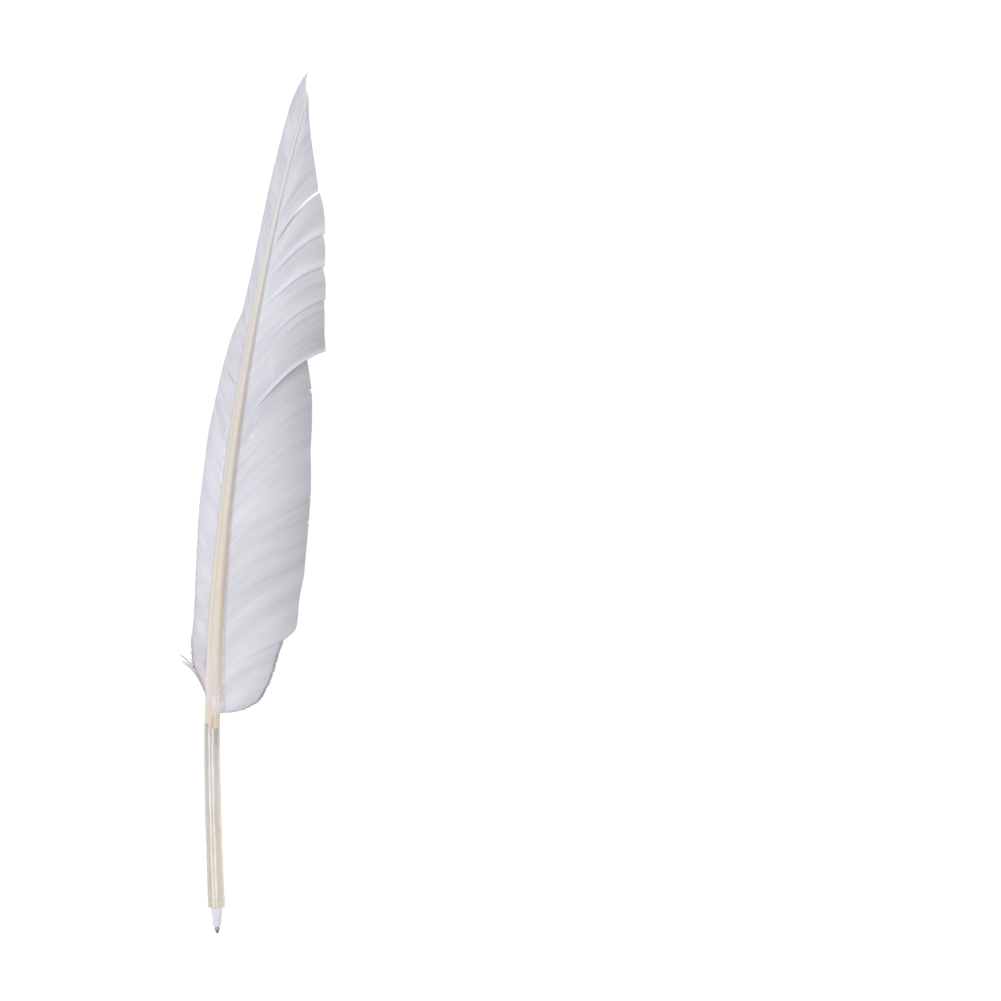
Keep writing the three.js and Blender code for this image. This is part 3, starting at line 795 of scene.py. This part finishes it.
NARROW = dict(
    sign=-1, bend=0.07, early=0, arch=0.5, pitch=0.40, waves=0.15,
    tone=through([(100, 0.9), (110, 0.92), (120, 1.05), (150, 1.08), (180, 1.09), (215, 1.06), (240, 1.03),
                  (300, 1.02), (368, 1.03)]),
    edge_dark=through([(100, 0.1), (200, 0.06), (250, 0.06), (368, 0.05)]),
    root_light=through([(100, 0.0), (368, 0.0)]))
BARB_STEPS = 28
LATE_CURVE = (0.8, 3.2)  # curvature at the root, and its gain by the tip, of most barbs
EARLY_CURVE = (4.0, -3.2)  # the same for the wide vane's lower barbs, which curve near the root
CURVE_CHANGE = (150, 219)  # the wide vane goes from early to late curves between these stations
FOOT = (92, 106)  # its barbs are nearly straight below the first, and bend fully above the second
FOOT_BEND = 0.3
LOW_RIDGE = 1.0
RIDGE_WIDTH = 1.5
FADE = 4.0  # hooks and splays die out over this distance from a lock's edge


def slow_waves(root):
    """Gentle folds that run along the barbs."""
    return (0.34 * np.sin(root * 0.30 + 1.1) + 0.22 * np.sin(root * 0.53 + 4.0)
            + 0.07 * np.sin(root * 1.27 + 0.4))


def nick_cut(lock, root):
    """How much shorter the barbs are where the free edge is split."""
    cut = 0 * root
    for place, depth, width in lock.get("nicks", ()):
        cut = cut + depth * bell(root, place, width)
    return cut


def tip_points(lock, share):
    """The free edge's x and station at a share of the way along the lock."""
    places = np.linspace(0, 1, len(lock["tips"]))
    return [through(list(zip(places, axis)))(share) for axis in zip(*lock["tips"])]


def barb_hump(side, lock, root, reach, spread):
    """How far the barbs curve off a straight line, as a share of their length."""
    straight = side["early"] * (1 - FOOT_BEND) * (1 - smoothstep(*FOOT, root))
    bend = side["bend"] * np.minimum(1, spread / FULL_BEND_SPREAD) * (1 - straight)
    bend = bend + lock.get("hook", 0) * np.exp(-(lock["roots"][1] - root) / FADE)
    early = side["early"] * (1 - smoothstep(*CURVE_CHANGE, root))[:, None]
    curve = [late + (soon - late) * early for late, soon in zip(LATE_CURVE, EARLY_CURVE)]
    return reach * (1 - reach) * (curve[0] + curve[1] * reach) * bend[:, None]


def barb_height(side, lock, root, reach, length, y):
    """Height of the barbs: held by the shaft's side, arched, folded at the lock's edges, and waved."""
    first, last = lock["roots"]
    grip = ROOT_HEIGHT * shaft_depth(root)[:, None]
    drop = grip + (EDGE_HEIGHT - grip) * reach ** 2
    arch = side["arch"] * 4 * reach * (1 - reach) * np.minimum(1, length / 30)[:, None]
    crest = bell(root - first, LOW_RIDGE, RIDGE_WIDTH)
    folds = lock.get("ridge", 0) * crest - lock.get("dip", 0) * np.exp(-(last - root) / 2.2)
    open_out = smoothstep(0.02, 0.55, reach)
    wave = side["waves"] * slow_waves(root)[:, None] * open_out * np.minimum(1, length / 25)[:, None]
    return lift(y) + drop + arch + folds[:, None] * open_out + wave


def barb_lines(side, lock, root, v, extra=0.0, stray=0.0):
    """Middle lines (n, k, 3) of the barbs at these roots (n), at shares v (k) of their length."""
    first, last = lock["roots"]
    tip_x, tip_y = tip_points(lock, (root - first) / (last - first))
    normal = across(root)
    hold = 0.46 + 0.04 * smoothstep(220, 300, root)
    start = on_shaft(root, side["sign"] * shaft_width(root) * hold, 0 * root)
    dx, dy = tip_x - start[:, 0], tip_y - start[:, 1]
    length = np.hypot(dx, dy)
    spread = np.abs(dx * normal[:, 0] + dy * normal[:, 1]) / length
    reach = v * (1 + (extra - nick_cut(lock, root)) / length)[:, None]
    splay_low, splay_high = lock.get("splay", (0, 0))
    slip = splay_low * np.exp(-(root - first) / FADE) - splay_high * np.exp(-(last - root) / FADE)
    slip = slip[:, None] * smoothstep(0.42, 0.8, reach)
    slip = slip + np.reshape(stray, (-1, 1)) * smoothstep(0.6, 1, reach)
    aside = barb_hump(side, lock, root, reach, spread) + slip / length[:, None]
    x = start[:, 0, None] + dx[:, None] * reach - dy[:, None] * aside
    y = start[:, 1, None] + dy[:, None] * reach + dx[:, None] * aside
    return np.stack([x, y, barb_height(side, lock, root, reach, length, y)], -1), length


def frame_of(lines):
    """Unit side and up vectors along lines (n, k, 3)."""
    ahead = np.gradient(lines, axis=1)
    ahead /= np.linalg.norm(ahead, axis=-1, keepdims=True)
    side = np.cross(ahead, np.array([0, 0, 1.0]))
    side /= np.linalg.norm(side, axis=-1, keepdims=True)
    return side, np.cross(side, ahead)


def shade_at(side, lock, root, v, length):
    """Painted light and shade (n, k) of the vane: painted shade at the free edge, under tucked edges and in
    slits, painted highlights on raised edges, painted light next to the shaft, and darker loose tips.
    """
    first, last = lock["roots"]
    open_out = smoothstep(0.02, 0.5, v)
    # painted highlight along the raised lower edge, painted shade where the upper edge tucks under
    raised = lock.get("ridge", 0) * bell(root - first, 1.3, 1.5)
    tucked = lock.get("dip", 0) * np.exp(-(last - root) / 1.6)
    # painted shade towards the free edge, and painted light next to the shaft against its shadow
    edge = 1 - side["edge_dark"](root)[:, None] * v ** 2.3
    edge = edge + side["root_light"](root)[:, None] * bell(v, 0, 0.07)
    fringe = 1 - lock.get("fringe", 0) * smoothstep(2.0, 0.7, (1 - v) * length[:, None])
    # painted shadow in the slit along the lock's upper edge
    crack = lock.get("crack", 0) * np.exp(-(last - root) / 0.5)[:, None]
    crack = 1 - crack * (smoothstep(0.05, 0.3, v) * smoothstep(0.75, 0.5, v))
    relief_painted_light = 1 + (0.16 * raised - 0.14 * tucked)[:, None] * open_out
    return side["tone"](root)[:, None] * edge * fringe * crack * relief_painted_light


def web(side, lock):
    """The sheet of hooked barbules between the barbs: thin, closed, ending just short of the tips."""
    first, last = lock["roots"]
    rows = max(4, int((last - first) / lock.get("pitch", side["pitch"]) / 0.5))
    root = np.linspace(first, last, rows)
    v = np.linspace(0, 1, BARB_STEPS)
    line, length = barb_lines(side, lock, root, v, extra=-0.25 - 1.2 * lock.get("fray", 0))
    half = np.array([0, 0, 1.0]) * 0.045
    rings = np.concatenate([line + half, (line - half)[:, ::-1]], 1)
    shade = shade_at(side, lock, root, v, length)
    values = {"along": np.tile(np.concatenate([v, v[::-1]]), rows), "root": np.repeat(root, 2 * len(v)),
              "shade": np.concatenate([shade, shade[:, ::-1]], 1).ravel(), "tone": np.ones(rows * 2 * len(v))}
    return loft(rings), values


def part_of(v, start, end, rise, fall):
    """1 between two shares of the length, with soft ends."""
    return smoothstep(start, start + rise, v) * smoothstep(end + fall, end, v)


def mark_barbs(lock, rng, root, v, line, shade):
    """Raise ruffled and stray barbs in line, paint glints and highlights on them, and return the shade with
    those and with the painted shade of dark ones.
    """
    count = len(root)
    # ruffled barbs: raised a little, with painted glints
    for low, high, at_low, at_high in lock.get("ruffles", ()):
        share = np.clip((root - low) / (high - low), 0, 1)
        place = at_low + (at_high - at_low) * share + rng.normal(0, 0.006, count)
        glint_chosen = (rng.random(count) < 0.6) * (root > low) * (root < high)
        spot = glint_chosen[:, None] * bell(v, place[:, None], 0.028)
        line[..., 2] += 0.12 * spot
        shade = shade * (1 + 0.2 * spot)
    # stray barbs: raised, with a painted highlight along part of their length
    for place, start, end in lock.get("strays", ()):
        chosen = np.arange(count) == np.argmin(np.abs(root - place))
        part = part_of(v, start, end, 0.06, 0.05)
        line[..., 2] += 0.16 * chosen[:, None] * part
        shade = shade * (1 + 0.16 * chosen[:, None] * part)
    # dark barbs: painted shade along part of their length
    for place, start, end in lock.get("dark", ()):
        part = part_of(v, start, end, 0.1, 0.1)
        shade = shade * (1 - 0.16 * bell(root, place, 0.35)[:, None] * part)
    return shade


def barbs(side, lock, rng):
    """Every barb of a lock: a tapering ridge that stands proud of the web on both faces."""
    first, last = lock["roots"]
    count = max(3, int(round((last - first) / lock.get("pitch", side["pitch"]))))
    root = first + (np.arange(count) + 0.5 + rng.uniform(-0.18, 0.18, count)) / count * (last - first)
    v = np.linspace(0, 1, BARB_STEPS)
    fray = lock.get("fray", 0)
    extra = np.minimum(rng.normal(0.1, 0.16 + 0.6 * fray, count), 0.4) - 0.5 * (rng.random(count) < 0.06)
    line, length = barb_lines(side, lock, root, v, extra, stray=rng.normal(0, 0.05 + 0.5 * fray, count))
    shade = shade_at(side, lock, root, v, length)
    proud = rng.normal(0, 0.02, count) + 0.12 * (rng.random(count) < 0.04)
    line[..., 2] += proud[:, None] * smoothstep(0.2, 0.6, v)
    shade = mark_barbs(lock, rng, root, v, line, shade)
    across_, up = frame_of(line)
    taper = (1 - v) ** 0.7
    half_width = 0.05 + 0.09 * taper + 0 * length[:, None]
    half_height = 0.055 + 0.06 * taper + 0 * length[:, None]
    half_width[:, -1] *= 0.35
    half_height[:, -1] *= 0.35
    shape = strands(line, half_width, half_height, across_, up)
    tone = 1 + rng.normal(0, 0.03, count) + 0.1 * (rng.random(count) < 0.03)
    loose = lock.get("fringe", 0) * rng.uniform(-0.6, 0.8, count)[:, None]
    shade = shade * (1 - loose * smoothstep(3.2, 0.8, (1 - v) * length[:, None]))
    values = {"along": np.repeat(np.tile(v, count), 4), "root": np.repeat(root, 4 * len(v)),
              "shade": np.repeat(shade.ravel(), 4), "tone": np.repeat(tone, 4 * len(v))}
    return shape, values


def vane(prefix, side, locks, seed):
    for i, lock in enumerate(locks, 1):
        node = f"{prefix}_lock_{i}"
        rng = np.random.default_rng(seed + i)
        shape, values = web(side, lock)
        piece(f"{node}_web", shape, "vane", "quill", [node], 60, values)
        shape, values = barbs(side, lock, rng)
        piece(f"{node}_barbs", shape, "barb", "quill", [node], 85, values)


# ---------------- the down
def cover(x, y):
    """Height of what a loose strand rests on at the foot of the vanes: the shaft's face or the vane."""
    half, depth = shaft_width(y) / 2, shaft_depth(y)
    out = np.clip(np.abs(x - shaft_x(y)) / half, 0, 1)
    shaft = depth / 2 * (1 + (1 - out ** 2.5) ** 0.4)
    return np.maximum(shaft * (out < 0.999), ROOT_HEIGHT * depth + 0.5)


def plume(rng, start, heading, length, curl, above, barbules=24, stem=0.05, hair=0.03, reach=(0.8, 2.2),
          late=1.4):
    """One downy barb: a fine curved stem with loose barbules on both sides, lying over what is under it."""
    steps = 22
    s = np.linspace(0, 1, steps)
    angle = heading + curl * s ** late
    step = length / (steps - 1)
    x = start[0] + np.concatenate([[0], np.cumsum(np.cos(angle[:-1]) * step)])
    y = start[1] + np.concatenate([[0], np.cumsum(np.sin(angle[:-1]) * step)])
    line = np.stack([x, y, cover(x, y) + above(s)], -1)[None]
    side, up = frame_of(line)
    thin = (stem * (1 - 0.7 * s))[None]
    parts = [strands(line, thin, thin, side, up)]
    at = rng.uniform(0.1, 0.98, barbules)
    point = np.stack([np.interp(at, s, line[0, :, k]) for k in range(3)], -1)
    turn = np.where(rng.random(barbules) < 0.5, 1, -1) * rng.uniform(0.15, 0.55, barbules)
    span = rng.uniform(*reach, barbules) * (1 - 0.4 * at)
    u = np.linspace(0, 1, 6)
    bearing = (np.interp(at, s, angle) + turn)[:, None] - turn[:, None] * 0.5 * u[None]
    hx = point[:, 0, None] + np.cos(bearing) * span[:, None] * u
    hy = point[:, 1, None] + np.sin(bearing) * span[:, None] * u
    hz = np.maximum(point[:, 2, None] + rng.normal(0, 0.1, barbules)[:, None] * u, cover(hx, hy) + 0.06)
    hairs = np.stack([hx, hy, hz], -1)
    side, up = frame_of(hairs)
    fine = hair * (1 - 0.5 * u)[None] * np.ones((barbules, 1))
    parts.append(strands(hairs, fine, fine, side, up))
    return join(parts)


def down_wisps():
    """Two loose tufts that run along the narrow vane's foot and stick out past it."""
    rng = np.random.default_rng(71)
    parts = []
    for i in range(20):
        upper = i % 2
        start = (rng.uniform(-5.0, -4.6), (98.2 if upper else 96.6) + rng.uniform(-0.5, 0.5))
        heading = math.radians((115 if upper else 113) + rng.uniform(-0.8, 0.8))
        curl = math.radians((42 if upper else 52) + rng.uniform(-3, 3))
        length = (21.5 if upper else 20.5) + rng.uniform(-3, 1)
        parts.append(plume(rng, start, heading, length, curl, lambda s: 0.1 - 1.6 * s, barbules=14, stem=0.15,
                           reach=(0.4, 1.1), late=2.4))
    return piece("down_side_wisps", join(parts), "wisp", "quill", ["down_wisps"], 85)


# plumes of the tuft: how many, the ranges of their start, heading in degrees, length and curl, how high
# they lie along their length, and what else is special about them
FANS = [
    (64, (-1.0, 1.6), (87.6, 90.4), (70, 118), (7, 14), (-0.15, 0.2),
     lambda s: 0.08 + 0.25 * np.sin(math.pi * np.minimum(s * 1.2, 1)), dict(hair=0.022)),
    (34, (-5.8, -3.6), (95.5, 105.0), (42, 84), (6, 16), (-0.15, 0.2),
     lambda s: 0.08 + 0.3 * s, dict(barbules=18, hair=0.02, reach=(0.8, 2.6))),
    (30, (-5.4, -4.2), (99.0, 107.0), (98, 120), (8, 15), (-0.1, 0.2),
     lambda s: 0.1 + 0.15 * s, dict(barbules=14, hair=0.02)),
]


def down_tuft():
    """Down over the shaft's face: a fan from the wide vane's foot, and barbs from the narrow side."""
    rng = np.random.default_rng(72)
    parts = []
    for count, from_x, from_y, degrees, lengths, curls, above, more in FANS:
        for _ in range(count):
            start = (rng.uniform(*from_x), rng.uniform(*from_y))
            heading = math.radians(rng.uniform(*degrees))
            length, curl = rng.uniform(*lengths), rng.uniform(*curls)
            parts.append(plume(rng, start, heading, length, curl, above, **more))
    return piece("down_face_tuft", join(parts), "down", "quill", ["down_tuft"], 85)


# ---------------- stage, camera and lights
PIXELS_PER_MM = 2.2
VIEW_WIDTH = 1001 / PIXELS_PER_MM / 1000
LENS = 800.0
SENSOR = 36.0
# the pen stands left of the middle of the picture; these are the picture's middle in the pen's coordinates
VIEW_MIDDLE = (129.1, 184.7)
VIEW_PLANE = 4.0
WORLD_LIGHT = 0.61
PAPER_GLOW = 0.36


def camera():
    data = bpy.data.cameras.new("camera")
    data.lens = LENS
    data.sensor_width = SENSOR
    data.clip_start, data.clip_end = 0.1, 40
    thing = add("camera", data)
    middle = to_frame((*VIEW_MIDDLE, VIEW_PLANE))
    thing.location = (middle[0], middle[1], middle[2] + VIEW_WIDTH * LENS / SENSOR)
    bpy.context.scene.camera = thing


def area_light(name, place, size, power, target=(-0.015, 0, 0)):
    data = bpy.data.lights.new(name, "AREA")
    data.shape = "RECTANGLE"
    data.size, data.size_y = size
    data.energy = power
    thing = add(name, data)
    thing.location = place
    back = (Vector(place) - Vector(target)).normalized()
    right = Vector((0, 1, 0)).cross(back).normalized()
    thing.rotation_euler = Matrix((right, back.cross(right), back)).transposed().to_euler()
    thing.visible_camera = False


def lights():
    area_light("left_strip", (-1.35, 0.2, 1.5), size=(0.28, 1.9), power=9.5)
    area_light("top_strip", (0.27, 0.0, 2.0), size=(0.5, 1.9), power=9.5)
    world = bpy.data.worlds.new("studio")
    world.use_nodes = True
    inputs = world.node_tree.nodes["Background"].inputs
    inputs["Color"].default_value = (1, 1, 1, 1)
    inputs["Strength"].default_value = WORLD_LIGHT
    bpy.context.scene.world = world
    bpy.context.scene.view_settings.view_transform = "Standard"
    bpy.context.scene.view_settings.look = "None"


def floor():
    mesh = bpy.data.meshes.new("floor")
    half, z = 6.0, -0.0001
    corners = [(-half, -half, z), (half, -half, z), (half, half, z), (-half, half, z)]
    mesh.from_pydata(corners, [], [(0, 1, 2, 3)])
    mesh.materials.append(clouded(
        "paper_floor", 80, 80, 2.0, grey(0.93), grey(0.95), Roughness=0.9, Specular_IOR_Level=0.1,
        Emission_Color=(1, 1, 1, 1), Emission_Strength=PAPER_GLOW))
    thing = add("floor", mesh)


def dress(node, material):
    """A CAD node that stays, with a finer material."""
    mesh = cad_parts[node].data
    mesh.materials.clear()
    mesh.materials.append(MATERIALS[material])


# ---------------- the pen
camera()
lights()
floor()
dress("rachis_pith", "pith")
dress("ink_column", "ink")
nose_cone()
point_housing()
writing_ball()
ink_tube()
tail_plug()
quill_barrel()
glue_ring()
pith_plug()
rachis()
vane("trailing", WIDE, TRAILING, seed=100)
vane("leading", NARROW, LEADING, seed=200)
down_wisps()
down_tuft()
